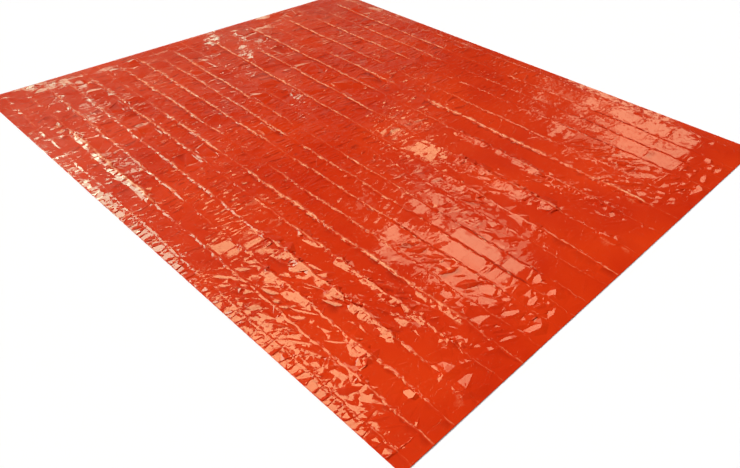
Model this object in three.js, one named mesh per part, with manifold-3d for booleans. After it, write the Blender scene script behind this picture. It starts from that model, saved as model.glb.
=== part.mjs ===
// An emergency sleeping bag of thin film, unfolded from its packet and lying flat.
// One web of film is folded over along the right long side (+X) and welded along the left long side (-X)
// and across the foot (+Y). The head end (-Y) is the open mouth. Millimetres, +Z up, on the floor at Z = 0.
// The upper layer keeps the creases of its packet: many lengthwise folds, fewer and softer cross folds,
// and crumpled places between them.

import * as THREE from "three";
import { mergeVertices } from "three/addons/utils/BufferGeometryUtils.js";
import Module from "manifold-3d";

const wasm = await Module();
wasm.setup();

// Driving dimensions
const BAG_WIDTH = 1800;
const BAG_LENGTH = 2130;
const FILM = 1.2; // thickness of each layer
const CLEAR_GAP = 6; // free height kept between the two layers
const DIP = 2.4; // how far the deepest valley fold hangs under the panels
const WELD_MARGIN = 10; // width of the welded strip, where the two layers are one
const WELD_LEAD = 6; // from the welded strip to the start of the pocket
const POCKET_LIP = 0.5; // height of the pocket where it starts at a weld or at the folded side
const SHOULDER = 40; // over this width the upper layer climbs from an edge to the panels
const CREASE_HALF = 7; // half the width of a sharp fold
const CROSS_HALF = 14; // half the width of a soft cross fold
const ROW_PITCH = 112; // widest spacing of the rows along the bag
const MOUTH_CUT = 30; // how far the pocket's cutter runs out past the mouth

// Heights that follow from them
const WELD_TOP = 2 * FILM;
const EDGE_TOP = 2 * FILM + POCKET_LIP;
const PANEL_TOP = FILM + CLEAR_GAP + DIP + FILM;
const POCKET_START = WELD_MARGIN + WELD_LEAD;
const POCKET_END = BAG_WIDTH - FILM;
const POCKET_FOOT = BAG_LENGTH - WELD_MARGIN - WELD_LEAD;

// Lengthwise folds. foot and mouth: distance from the welded side at each end. rise: height over the panels,
// under zero for a valley. peak: distance from the mouth where the fold stands sharpest.
const LENGTH_FOLDS = [
  { foot: 54, mouth: 27, rise: 1.8, peak: 1500 },
  { foot: 130, mouth: 95, rise: 4.2, peak: 1360 },
  { foot: 205, mouth: 164, rise: 3.2, peak: 1590 },
  { foot: 281, mouth: 243, rise: -1.8, peak: 1410 },
  { foot: 367, mouth: 331, rise: 3.4, peak: 1450 },
  { foot: 434, mouth: 407, rise: 3.0, peak: 610 },
  { foot: 502, mouth: 477, rise: -1.6, peak: 1540 },
  { foot: 594, mouth: 562, rise: 2.8, peak: 1540 },
  { foot: 673, mouth: 628, rise: 3.0, peak: 1500 },
  { foot: 745, mouth: 691, rise: 3.4, peak: 1650 },
  { foot: 819, mouth: 785, rise: -1.6, peak: 700 },
  { foot: 932, mouth: 848, rise: 3.6, peak: 1630 },
  { foot: 1037, mouth: 965, rise: 3.2, peak: 1410 },
  { foot: 1150, mouth: 1102, rise: 3.6, peak: 1520 },
  { foot: 1242, mouth: 1208, rise: -1.8, peak: 700 },
  { foot: 1339, mouth: 1309, rise: 2.8, peak: 1540 },
  { foot: 1454, mouth: 1435, rise: 3.0, peak: 1580 },
  { foot: 1555, mouth: 1526, rise: -1.8, peak: 1500 },
  { foot: 1656, mouth: 1615, rise: 3.6, peak: 1670 },
  { foot: 1753, mouth: 1744, rise: 2.4, peak: 520 },
];
const FOLD_FLOOR = 0.45; // share of its rise that a fold keeps far from its peak
const FOLD_SPREAD = 520; // distance over which a fold sinks from its peak

// Cross folds. along: distance from the mouth. from and to: reach across the bag, from the welded side.
const CROSS_FOLDS = [
  { along: 161, rise: 2.6, from: 250, to: 1720 },
  { along: 447, rise: 1.8, from: 90, to: 1640 },
  { along: 1065, rise: 2.2, from: 60, to: 1180 },
  { along: 1244, rise: 1.6, from: 480, to: 1460 },
];
const CROSS_FADE = 60; // a cross fold dies out over this distance at each end of its reach

// Crumpled places: across from the welded side, along from the mouth, with their radius and height.
const CRUMPLES = [
  { across: 54, along: 555, radius: 130, height: 3.4 },
  { across: 180, along: 698, radius: 120, height: 3.4 },
  { across: 247, along: 430, radius: 110, height: 4.0 },
  { across: 342, along: 250, radius: 90, height: 3.6 },
  { across: 520, along: 340, radius: 110, height: 3.2 },
  { across: 630, along: 72, radius: 90, height: 2.6 },
  { across: 700, along: 700, radius: 110, height: 2.4 },
  { across: 972, along: 520, radius: 130, height: 3.8 },
  { across: 1107, along: 304, radius: 120, height: 4.0 },
  { across: 1330, along: 330, radius: 110, height: 3.2 },
  { across: 1730, along: 560, radius: 130, height: 3.2 },
  { across: 225, along: 2050, radius: 80, height: 3.6 },
  { across: 972, along: 2050, radius: 80, height: 3.6 },
];
const CRUMPLE_EVEN = 0.35; // share of a crumple's height that is the same all over it

// Puckers along the welded side, between two distances from the mouth.
const PUCKERS = { from: 860, to: 1910, across: 34, rise: 2.6 };

// Long, low waves of the panels: length of each wave across and along, and its height.
const WAVES = [
  { across: 640, along: 1150, height: 0.7, turn: 0.4 },
  { across: 390, along: 520, height: 0.5, turn: 2.1 },
];

const ORANGE = new THREE.Color(0.84, 0.17, 0.05);

// A steady number from 0 to 1 for a pair of whole numbers, so that the crumples are uneven but always the same.
function scatter(i, j) {
  const wave = Math.sin(i * 12.9898 + j * 78.233) * 43758.5453;
  return wave - Math.floor(wave);
}

// Where a lengthwise fold lies, from the welded side, at a distance from the mouth.
function foldLine(fold, along) {
  return THREE.MathUtils.lerp(fold.mouth, fold.foot, along / BAG_LENGTH);
}

// 1 on a fold's line, falling straight to 0 at its half width.
function ridge(distance, half) {
  return Math.max(0, 1 - Math.abs(distance) / half);
}

// 0 at an edge, 1 from the shoulder's width inwards.
function climb(distance) {
  return THREE.MathUtils.smoothstep(distance, 0, SHOULDER);
}

// How much of the panels' height is left near the two long sides and the foot.
function shoulder(across, along) {
  const fromWeld = climb(across - POCKET_START);
  const fromFold = climb(POCKET_END - across);
  const fromFoot = climb(POCKET_FOOT - along);
  return fromWeld * fromFold * fromFoot;
}

function lengthFoldRelief(across, along) {
  let height = 0;
  for (const fold of LENGTH_FOLDS) {
    const near = ridge(across - foldLine(fold, along), CREASE_HALF);
    if (near === 0) continue;
    const bell = Math.exp(-(((along - fold.peak) / FOLD_SPREAD) ** 2));
    height += fold.rise * near * (FOLD_FLOOR + (1 - FOLD_FLOOR) * bell);
  }
  return height;
}

function crossFoldRelief(across, along) {
  let height = 0;
  for (const fold of CROSS_FOLDS) {
    const near = ridge(along - fold.along, CROSS_HALF);
    const starts = THREE.MathUtils.smoothstep(across, fold.from - CROSS_FADE, fold.from + CROSS_FADE);
    const ends = 1 - THREE.MathUtils.smoothstep(across, fold.to - CROSS_FADE, fold.to + CROSS_FADE);
    height += fold.rise * near * starts * ends;
  }
  return height;
}

function crumpleRelief(across, along, uneven) {
  let height = 0;
  for (const place of CRUMPLES) {
    const away = Math.hypot(across - place.across, along - place.along) / place.radius;
    const mound = 1 - THREE.MathUtils.smoothstep(away, 0.2, 1);
    height += place.height * mound * (CRUMPLE_EVEN + (1 - CRUMPLE_EVEN) * uneven);
  }
  return height;
}

function puckerRelief(across, along, row) {
  const within = along > PUCKERS.from && along < PUCKERS.to;
  const near = ridge(across - PUCKERS.across, PUCKERS.across - WELD_MARGIN);
  return within ? PUCKERS.rise * near * (row % 2) : 0;
}

// A low swell of the panels, never under zero.
function waveRelief(across, along) {
  let height = 0;
  for (const wave of WAVES) {
    const phase = 2 * Math.PI * (across / wave.across + along / wave.along) + wave.turn;
    height += (wave.height * (1 + Math.sin(phase))) / 2;
  }
  return height;
}

// Height of the upper layer's outside. column and row steady the unevenness of the crumples.
function outsideHeight(across, along, column, row) {
  const inWeld = across <= WELD_MARGIN || along >= BAG_LENGTH - WELD_MARGIN;
  if (inWeld) return WELD_TOP;
  const share = shoulder(across, along);
  const relief =
    lengthFoldRelief(across, along) +
    crossFoldRelief(across, along) +
    crumpleRelief(across, along, scatter(column, row)) +
    waveRelief(across, along);
  const pucker = puckerRelief(across, along, row) * climb(across - POCKET_START + SHOULDER / 2);
  return EDGE_TOP + (PANEL_TOP - EDGE_TOP + relief) * share + pucker;
}

// Places of the columns across the bag at a distance from the mouth: the edges, three for each lengthwise fold
// (its two feet and its line), and one in the middle of each panel.
function columnsAt(along) {
  const columns = [0, WELD_MARGIN, POCKET_START];
  const lines = LENGTH_FOLDS.map((fold) => foldLine(fold, along));
  lines.forEach((line, i) => {
    if (i > 0) columns.push((lines[i - 1] + line) / 2);
    columns.push(line - CREASE_HALF, line, line + CREASE_HALF);
  });
  const last = lines[lines.length - 1] + CREASE_HALF;
  columns.push((last + POCKET_END) / 2, POCKET_END, BAG_WIDTH);
  return columns;
}

// Places of the rows along the bag: the mouth, the foot's weld, three for each cross fold, and even rows between.
function rowPlaces() {
  const fixed = [0, POCKET_FOOT - SHOULDER, POCKET_FOOT - SHOULDER / 2, POCKET_FOOT];
  fixed.push(BAG_LENGTH - WELD_MARGIN, BAG_LENGTH);
  for (const fold of CROSS_FOLDS) {
    fixed.push(fold.along - CROSS_HALF, fold.along, fold.along + CROSS_HALF);
  }
  fixed.sort((a, b) => a - b);
  const rows = [fixed[0]];
  for (let i = 1; i < fixed.length; i++) {
    const span = fixed[i] - fixed[i - 1];
    const steps = Math.max(1, Math.round(span / ROW_PITCH));
    for (let k = 1; k <= steps; k++) rows.push(fixed[i - 1] + (span * k) / steps);
  }
  return rows;
}

const ROWS = rowPlaces();

// One point of the bag in the part's own frame, from distances across and along and a height.
function place(across, along, height) {
  return [across - BAG_WIDTH / 2, along - BAG_LENGTH / 2, height];
}

// The upper layer's outside as a grid of points: grid[row][column].
function outsideGrid() {
  return ROWS.map((along, row) =>
    columnsAt(along).map((across, column) => place(across, along, outsideHeight(across, along, column, row))),
  );
}

// Adds the triangles of a flat wall between a line of points at the top and its two bottom corners.
function addWall(triangles, tops, firstBottom, lastBottom) {
  const middle = Math.floor(tops.length / 2);
  for (let i = 0; i < middle; i++) triangles.push([firstBottom, tops[i + 1], tops[i]]);
  triangles.push([firstBottom, lastBottom, tops[middle]]);
  for (let i = middle; i < tops.length - 1; i++) triangles.push([lastBottom, tops[i + 1], tops[i]]);
}

// A closed block under a grid of points: the grid on top, four flat walls, and a flat floor.
function blockUnder(grid, floor) {
  const triangles = [];
  for (let r = 0; r < grid.length - 1; r++) {
    for (let c = 0; c < grid[r].length - 1; c++) {
      const [a, b, d, e] = [grid[r][c], grid[r][c + 1], grid[r + 1][c], grid[r + 1][c + 1]];
      if ((r + c) % 2) triangles.push([a, b, e], [a, e, d]);
      else triangles.push([a, b, d], [b, e, d]);
    }
  }
  const down = (point) => [point[0], point[1], floor];
  const first = grid[0];
  const last = grid[grid.length - 1];
  const lefts = grid.map((row) => row[0]);
  const rights = grid.map((row) => row[row.length - 1]);
  const [nearLeft, nearRight] = [down(first[0]), down(first[first.length - 1])];
  const [farLeft, farRight] = [down(last[0]), down(last[last.length - 1])];
  addWall(triangles, first, nearLeft, nearRight);
  addWall(triangles, rights, nearRight, farRight);
  addWall(triangles, [...last].reverse(), farRight, farLeft);
  addWall(triangles, [...lefts].reverse(), farLeft, nearLeft);
  triangles.push([nearLeft, farLeft, farRight], [nearLeft, farRight, nearRight]);
  const geometry = new THREE.BufferGeometry();
  geometry.setAttribute("position", new THREE.Float32BufferAttribute(triangles.flat(2), 3));
  return geometry;
}

function solidFrom(geometry) {
  const merged = mergeVertices(geometry, 1e-3);
  const vertProperties = merged.attributes.position.array;
  const triVerts = new Uint32Array(merged.index.array);
  return new wasm.Manifold(new wasm.Mesh({ numProp: 3, vertProperties, triVerts }));
}

function geometryFrom(solid) {
  const mesh = solid.getMesh();
  const geometry = new THREE.BufferGeometry();
  geometry.setAttribute("position", new THREE.BufferAttribute(mesh.vertProperties, mesh.numProp));
  geometry.setIndex(new THREE.BufferAttribute(mesh.triVerts, 1));
  geometry.computeVertexNormals();
  return geometry;
}

// The free space between the layers: the outside grid less one film, inside the welds, run out past the mouth.
function pocketGrid(outside) {
  const kept = outside.filter((_, row) => ROWS[row] <= POCKET_FOOT);
  const inner = kept.map((row) => row.slice(2, -1).map(([x, y, z]) => [x, y, z - FILM]));
  const pastMouth = inner[0].map(([x, y, z]) => [x, y - MOUTH_CUT, z]);
  return [pastMouth, ...inner];
}

function filmBag() {
  const outside = outsideGrid();
  const body = solidFrom(blockUnder(outside, 0));
  const pocket = solidFrom(blockUnder(pocketGrid(outside), FILM));
  const material = new THREE.MeshStandardMaterial({ color: ORANGE, roughness: 0.25, metalness: 0 });
  const mesh = new THREE.Mesh(geometryFrom(body.subtract(pocket)), material);
  mesh.name = "film_bag";
  return mesh;
}

const bag = new THREE.Group();
bag.add(filmBag());

export default bag;
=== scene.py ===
"""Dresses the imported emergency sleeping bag: thin, glossy, creased orange film lying on a white floor.

The film is shaped in millimetres: "across" runs from the welded long side (-X) to the folded one, "along"
runs from the open mouth (-Y) to the foot, and heights are over the floor. Blender gets metres, +Z up.
The upper layer is a net of points and crease lines that is filled with flat facets, as creased film is.
"""

import math
from collections import namedtuple

import bpy
import numpy as np
from mathutils import Euler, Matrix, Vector
from mathutils.geometry import delaunay_2d_cdt


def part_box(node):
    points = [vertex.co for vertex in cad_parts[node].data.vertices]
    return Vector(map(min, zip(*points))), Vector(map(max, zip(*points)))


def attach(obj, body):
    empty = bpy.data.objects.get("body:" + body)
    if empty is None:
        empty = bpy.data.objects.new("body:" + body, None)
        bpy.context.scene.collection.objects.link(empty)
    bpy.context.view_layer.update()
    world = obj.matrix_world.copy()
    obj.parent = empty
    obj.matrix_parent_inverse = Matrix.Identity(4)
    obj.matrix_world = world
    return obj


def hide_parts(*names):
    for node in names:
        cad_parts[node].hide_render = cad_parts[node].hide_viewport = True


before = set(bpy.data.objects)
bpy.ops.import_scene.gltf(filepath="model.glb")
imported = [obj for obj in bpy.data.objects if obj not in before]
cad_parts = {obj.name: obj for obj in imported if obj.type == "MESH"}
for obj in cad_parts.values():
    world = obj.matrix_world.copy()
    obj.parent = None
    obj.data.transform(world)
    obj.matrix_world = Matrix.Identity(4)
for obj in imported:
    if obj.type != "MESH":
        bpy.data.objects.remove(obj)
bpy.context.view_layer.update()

NODE = "film_bag"
MM = 0.001

bag_low, bag_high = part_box(NODE)
WIDTH = (bag_high.x - bag_low.x) / MM
LENGTH = (bag_high.y - bag_low.y) / MM
TINY = 1e-6


def table(kind, *rows):
    """Rows of plain values as named rows of one kind."""
    return [kind(*row) for row in rows]


# Film levels over the floor, and the widths over which the film climbs from its edges. Along the weld that
# width is given at distances from the mouth.
UNDER_LEVEL = 0.3
EDGE_LEVEL = 0.9
WELD_LEVEL = 2.2
MOUTH_LEVEL = 1.8
PANEL_LEVEL = 5.0
WELD_STATIONS = (700.0, 900.0, 1380.0, 1600.0)
WELD_STRIPS = (12.0, 30.0, 30.0, 100.0)
WELD_CLIMB = 260.0
SHOULDER = 60.0
FOOT_SHOULDER = 150.0
MOUTH_SHOULDER = 168.0
MOUTH_SWAY = 0.4
LOWEST_FILM = 0.5

# Lengthwise folds: places at the foot and at the mouth, from the welded side. lift: how far the fold's line
# stands over or under the panels' mean.
LengthFold = namedtuple("LengthFold", "foot mouth lift")
LENGTH_FOLDS = table(
    LengthFold,
    (54, 27, 0.2), (130, 95, 0.7), (205, 164, 0.3), (281, 243, 0.5), (367, 331, 0.3), (434, 407, 0.6),
    (502, 477, 0.1), (594, 562, 0.2), (673, 628, 0.3), (745, 691, 0.2), (819, 785, -0.3), (932, 848, 0.4),
    (1037, 965, 0.5), (1150, 1102, 0.5), (1242, 1208, 0.3), (1339, 1309, 0.1), (1454, 1435, 0.2),
    (1555, 1526, 0.3), (1656, 1615, 0.2), (1753, 1744, 0.0),
)
FOLD_HALF = (3.6, 5.4)
# How far a fold's feet reach to its left and right, at the mouth and at the foot
FOLD_LEFT = ((2.5, 5.5), (7.0, 12.0))
FOLD_RIGHT = ((3.0, 6.0), (10.0, 17.0))
FOLD_BEAT = (0.5, 1.5)
WIDE_FOLDS = {5: 1.5, 14: 2.3}
FOLD_STRAY = 2.0
FOOT_STRAY = 2.0
# Painted shade on a fold's foot on the welded side, by how pale its ridge is painted
FOOT_SHADE = 0.8
FOLD_STEP = (6.0, 14.0)
FOLD_FADE = 60.0
FOLD_MARGIN = 7.0
Waver = namedtuple("Waver", "length height turn")
FOLD_WAVERS = (Waver(310.0, 1.8, 2.1), Waver(97.0, 0.9, 4.4), Waver(41.0, 0.5, 1.3))
SWAY_STEP = (60.0, 150.0)
SWAY_HEIGHT = 1.0
SWAY_FLATNESS = 0.6

# Stretches of the folds that stand sharp: fold number, from and to along, rise over the film beside it, and
# how pale its ridge is painted, partly as wear and partly as painted highlight. A paleness under 0 paints the
# ridge dark, as painted shade.
Stretch = namedtuple("Stretch", "fold start stop rise pale")
STRETCHES = table(
    Stretch,
    (0, 60, 430, 0.9, 0.5), (1, 1128, 1647, 2.6, 1.0), (1, 269, 734, 0.9, 0.4), (1, 0, 251, 0.8, 0.5),
    (2, 1342, 1951, 1.0, 0.5), (2, 1110, 1271, 1.0, 0.5), (2, 877, 1056, 0.5, 0.35),
    (2, 340, 644, 0.9, 0.4), (2, 0, 215, 0.8, 0.5), (3, 1056, 2060, 1.1, 0.6), (3, 179, 960, 1.0, 0.4),
    (4, 1235, 2000, 1.3, 0.7), (4, 591, 823, 1.0, 0.6), (4, 161, 573, 1.1, 0.3),
    (5, 1271, 1539, 1.5, 0.9), (5, 161, 1056, 1.5, 0.8), (5, 0, 161, 0.7, 0.5), (6, 1342, 2020, 1.5, 0.8),
    (6, 519, 967, 1.0, 0.6), (7, 1217, 2010, 1.6, 0.9), (7, 560, 984, 1.1, 0.6), (7, 170, 540, 1.0, -0.8),
    (8, 1199, 1844, 1.5, 0.9), (8, 644, 1056, 1.2, 0.7), (8, 165, 600, 1.0, -0.8),
    (9, 1826, 1987, 1.3, 0.8), (9, 1504, 1754, 1.9, 1.0), (9, 1271, 1378, 1.4, 0.9),
    (9, 540, 895, 1.3, 0.8), (9, 170, 500, 1.1, -0.8), (10, 340, 877, 0.6, 0.2),
    (11, 1414, 1987, 1.5, 0.9), (11, 1146, 1325, 1.3, 0.8), (11, 519, 900, 0.8, 0.3),
    (11, 0, 220, 0.9, 0.6), (12, 1128, 1760, 1.5, 0.9), (12, 269, 950, 1.1, 0.4),
    (13, 1217, 2010, 1.7, 0.9), (13, 130, 967, 1.0, 0.4), (14, 1235, 1557, 1.5, 0.9),
    (14, 130, 984, 1.6, 1.0), (15, 1396, 1950, 1.5, 0.8), (15, 519, 967, 0.9, 0.5),
    (16, 1360, 1830, 1.5, 0.9), (16, 560, 984, 0.9, 0.3), (16, 150, 540, 1.0, -0.8),
    (17, 1235, 1700, 1.6, 0.9), (17, 640, 1056, 0.9, 0.35), (17, 140, 620, 1.0, -0.8),
    (18, 1504, 1960, 1.8, 1.0), (18, 1325, 1400, 1.4, 0.9), (18, 540, 895, 1.2, 0.6),
    (18, 140, 520, 1.1, -0.8), (19, 900, 1400, 0.7, 0.4),
)
FAINT = Stretch(None, None, None, 0.4, 0.3)
DASH_TURN = 0.07
DASH_GAP = 0.6

# Barbs: short creases that leave a fold line sideways, their distance apart, length, half width and slope.
BARB_STEP = (26.0, 80.0)
BARB_LENGTH = (12.0, 34.0)
BARB_HALF = (3.0, 7.0)
BARB_SLOPE = (0.08, 0.2)
BARB_TURN = (20.0, 75.0)
# Paleness painted on a barb's ridge, partly wear and partly painted highlight
BARB_PALE = 0.2
EVEN_ODDS = 0.5

# Chains of facets on the welded side of a fold: fold number, from and to along, how far they reach from the
# fold, how steeply they face the welded side, in degrees, and the least share of the reach that they keep,
# which is also how even they are.
Chain = namedtuple("Chain", "fold start stop reach lean least")
CHAINS = table(
    Chain,
    (1, 1128, 1647, 11, 14, 0.85), (1, 180, 240, 20, 11, 0.2), (2, 465, 640, 28, 11, 0.3),
    (2, 240, 330, 24, 11, 0.2), (3, 250, 770, 32, 11, 0.25), (3, 30, 110, 24, 11, 0.2),
    (4, 140, 540, 19, 12, 0.2), (4, 620, 720, 22, 12, 0.2), (5, 160, 300, 14, 13, 0.2),
    (11, 230, 350, 28, 7.5, 0.2), (11, 465, 620, 32, 7.5, 0.2), (12, 20, 120, 24, 8, 0.2),
    (12, 268, 662, 42, 8, 0.45), (13, 150, 600, 28, 8, 0.3), (13, 640, 760, 24, 8, 0.2),
    (14, 125, 270, 18, 8, 0.2),
)
CHAIN_STEPS = (1, 4)
CHAIN_LEAN_SPREAD = 1.0
CHAIN_REACH = 1.1
CHAIN_LEAST_REACH = 0.55
CHAIN_GAP = 0.06
CHAIN_FALL = 1.6
CHAIN_EVENING = (0.25, 0.5, 0.25)
# Paleness painted on the outer corners of a chain's facets, partly wear and partly painted highlight
CHAIN_PALE = (0.0, 0.4)
# Ribs: thin creases across a chain's facets, one for each so much of its reach
RIB_EVERY = 11.0
RIB_HALF = (1.0, 2.6)
RIB_SLOPE = (0.1, 0.24)
RIB_STARTS = (0.0, 0.45)
RIB_STOPS = (0.6, 1.0)
RIB_SPAN = (0.1, 0.9)
RIB_SLIMNESS = 0.25
# How a chain's facet lies: the place across of its edge at the fold, its height there, and its slope.
Slant = namedtuple("Slant", "edge top slope")

# Flakes: single facets that show a light, by the light's name, with their middle, half sizes and turn.
Flake = namedtuple("Flake", "across along half_across half_along turn")
FLAKES = (
    ("glint_foot_left", (226, 2112, 33, 10, 4), (228, 2090, 33, 10, -5), (234, 2068, 30, 9, -4),
     (240, 2046, 24, 9, -8)),
    ("glint_high", (160, 2110, 22, 7, 10), (158, 2090, 18, 6, -10)),
    ("glint_left_top", (292, 1964, 20, 9, -12), (302, 1940, 18, 9, -18)),
    ("glint_left_far", (206, 1772, 14, 10, 6), (214, 1748, 16, 10, 0), (222, 1722, 13, 10, -6)),
    ("glint_left_middle", (292, 1792, 24, 9, -10)),
    ("glint_high", (366, 1740, 8, 12, 0)),
    ("glint_left", (148, 1412, 11, 9, 8), (154, 1388, 12, 9, 8), (160, 1346, 20, 9, -30),
     (176, 1322, 18, 9, -30)),
    ("glint_high", (96, 1763, 22, 4, 4), (96, 1742, 20, 4, -4), (98, 1706, 22, 5, 0),
     (98, 1678, 22, 4, 6)),
    ("glint_foot_right", (966, 2108, 34, 12, 4), (974, 2080, 30, 12, -6)),
    ("glint_far_top", (1066, 1985, 14, 16, 20)),
    ("glint_far", (934, 1808, 20, 16, 10), (944, 1774, 22, 16, 10)),
    ("glint_far_middle", (1048, 1832, 26, 9, -12)),
    ("glint_middle", (884, 1392, 18, 16, 20)),
    ("near_body", (540, 206, 26, 22, -25), (549, 152, 14, 9, -20), (513, 116, 24, 9, -25),
     (590, 102, 20, 9, 10), (650, 84, 18, 9, 0), (536, 75, 20, 10, -25), (516, 46, 30, 9, -20),
     (590, 46, 12, 7, 0), (668, 140, 18, 10, 25), (440, 152, 20, 8, 25), (450, 107, 12, 9, 0),
     (450, 262, 16, 12, 40)),
    ("softbox_left", (135, 255, 20, 14, 30), (150, 122, 10, 13, 0)),
    ("right_body", (1417, 113, 25, 12, -15), (1475, 45, 26, 8, 10), (1560, 34, 22, 8, 0),
     (1595, 81, 18, 12, 25), (1390, 32, 28, 9, -20), (1287, 63, 17, 9, 0), (1242, 143, 20, 12, -30),
     (1262, 96, 16, 8, 20), (1300, 104, 10, 14, 0)),
    ("right_left", (1098, 205, 22, 13, 20), (1120, 164, 20, 10, -20), (1078, 150, 14, 9, 10)),
)
FLAKE_CORNERS = (5, 8)
FLAKE_REACH = (0.9, 1.2)
FLAKE_STRAY = 0.2
FLAKE_SINK = 1.0
FLAKE_TURN = 0.25

# Panes: calm flat stretches between the crease lines of bright patches, with their middle and half sizes.
Pane = namedtuple("Pane", "across along half_across half_along")
PANES = table(
    Pane,
    (600, 208, 28, 33), (601, 340, 28, 78), (666, 208, 27, 33), (668, 340, 27, 78), (528, 528, 32, 34),
    (672, 574, 26, 34), (752, 567, 30, 40), (1484, 188, 39, 52), (1484, 312, 39, 54), (1576, 196, 39, 56),
    (1576, 344, 39, 72), (1674, 200, 40, 48), (1674, 312, 40, 46), (1678, 570, 38, 36),
    (1678, 436, 38, 48), (1378, 531, 46, 30), (143, 797, 34, 34), (216, 792, 33, 40), (222, 722, 32, 28),
    (840, 826, 32, 28), (926, 814, 38, 28), (946, 754, 36, 26),
)
PANE_KINK = 0.2
PANE_STEP = (22.0, 55.0)
PANE_STRAY = 4.0

# Dents: flat places of the far panels that lean to the mouth, with their middle, half sizes and lean in
# degrees.
Dent = namedtuple("Dent", "across along half_across half_along lean")
DENTS = table(
    Dent,
    (153, 1533, 30, 60, 2.0), (168, 1885, 30, 50, 4.0), (318, 1880, 32, 50, 5.3),
    (314, 1727, 34, 44, 4.8), (316, 1507, 36, 40, 4.2), (312, 1271, 34, 45, 2.9),
    (390, 1551, 26, 32, 3.6), (384, 1259, 28, 60, 2.9), (540, 1414, 40, 36, 3.6),
    (566, 2040, 32, 38, 5.9), (690, 1796, 16, 30, 4.8), (774, 1844, 26, 50, 4.8),
    (774, 1450, 36, 42, 4.2), (936, 1360, 48, 36, 4.2), (624, 1259, 28, 42, 3.6),
    (1086, 2028, 44, 42, 4.2), (1098, 1903, 36, 38, 4.0), (1098, 1760, 38, 42, 4.8),
    (1080, 1527, 46, 56, 4.2), (1074, 1295, 46, 54, 3.6), (1182, 1259, 38, 50, 3.6),
    (1512, 1265, 36, 44, 3.6), (1572, 1802, 18, 32, 4.8), (1698, 1856, 32, 60, 4.8),
    (1704, 1464, 42, 38, 4.2), (1694, 1271, 32, 40, 3.6), (1410, 2076, 40, 38, 5.9),
    (318, 2050, 32, 52, 5.3), (450, 2017, 26, 26, 5.3),
)
DENT_RAGGED = (0.35, 1.2)

# Cross folds: distance from the mouth, rise, and reach across from the welded side.
CrossFold = namedtuple("CrossFold", "along rise start stop")
CROSS_FOLDS = table(
    CrossFold,
    (161, 0.7, 500, 720), (140, 0.7, 1240, 1720), (251, 0.4, 560, 700), (232, 0.4, 1430, 1620),
    (430, 0.4, 560, 800), (430, 0.4, 1520, 1700), (447, 0.6, 170, 260), (490, 0.6, 470, 800),
    (480, 0.6, 1310, 1640), (734, 0.6, 30, 120), (830, 0.7, 90, 370), (870, 0.7, 960, 1110),
    (895, 0.6, 640, 720), (1065, 0.7, 60, 420), (1080, 0.7, 940, 1200), (1163, 0.4, 260, 460),
    (1244, 0.4, 480, 600), (1680, 0.5, 505, 590), (1838, 0.5, 505, 590), (1710, 0.5, 1330, 1435),
    (1862, 0.5, 1335, 1440), (1527, 0.5, 935, 1020), (1480, 0.5, 935, 1020),
)
CROSS_WIDTH = 4.0
CROSS_SLIP = 8.0
CROSS_KEPT = 0.8
CROSS_BEAT = (0.5, 1.1)
# Paleness painted on a cross fold's ridge, partly wear and partly painted highlight
CROSS_PALE = 0.5

# Rungs: wrinkles that cross one panel from fold to fold, with their height.
Rung = namedtuple("Rung", "across along rise")
RUNGS = table(
    Rung,
    (600, 251, 0.6), (666, 251, 0.6), (600, 432, 0.6), (666, 432, 0.6), (742, 398, 0.6), (528, 486, 0.6),
    (1483, 249, 0.6), (1574, 263, 0.6), (1483, 378, 0.6), (1668, 256, 0.6), (1678, 374, 0.6),
    (1678, 502, 0.6), (535, 1705, 1.0), (535, 1690, 0.8), (535, 1540, 0.6), (535, 1458, 1.0),
    (535, 1432, 0.9), (535, 1410, 0.8), (535, 1343, 0.7), (535, 1254, 1.0), (535, 1238, 0.8),
    (310, 1459, 0.8), (310, 1404, 0.7), (310, 1163, 0.9), (460, 1218, 0.7), (390, 1160, 0.9),
    (390, 1132, 0.7), (545, 1844, 0.7), (660, 1304, 0.7), (1375, 1724, 1.2), (1375, 1708, 1.0),
    (1375, 1473, 0.9), (1375, 1446, 0.9), (1375, 1422, 0.8), (1375, 1280, 1.0), (1385, 1226, 0.8),
    (1385, 1198, 0.8), (1385, 1172, 0.7), (1080, 1516, 0.9), (1080, 1480, 0.9), (1080, 1414, 0.8),
    (1080, 1322, 0.8), (1080, 1275, 0.7), (1160, 1208, 0.8), (1200, 1396, 0.7), (1590, 1288, 0.8),
    (1590, 1216, 0.7), (1690, 1450, 0.8), (1690, 1220, 0.7), (760, 1236, 0.7), (850, 1180, 0.8),
    (940, 1262, 0.7), (1480, 1330, 0.7),
)
RUNG_WIDTH = 7.0
RUNG_SLIP = 3.0
# Painted shade at a rung's right foot, and paleness painted on its ridge, partly wear and partly painted
# highlight
RUNG_SHADE = 0.5
RUNG_PALE = 0.1

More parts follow.
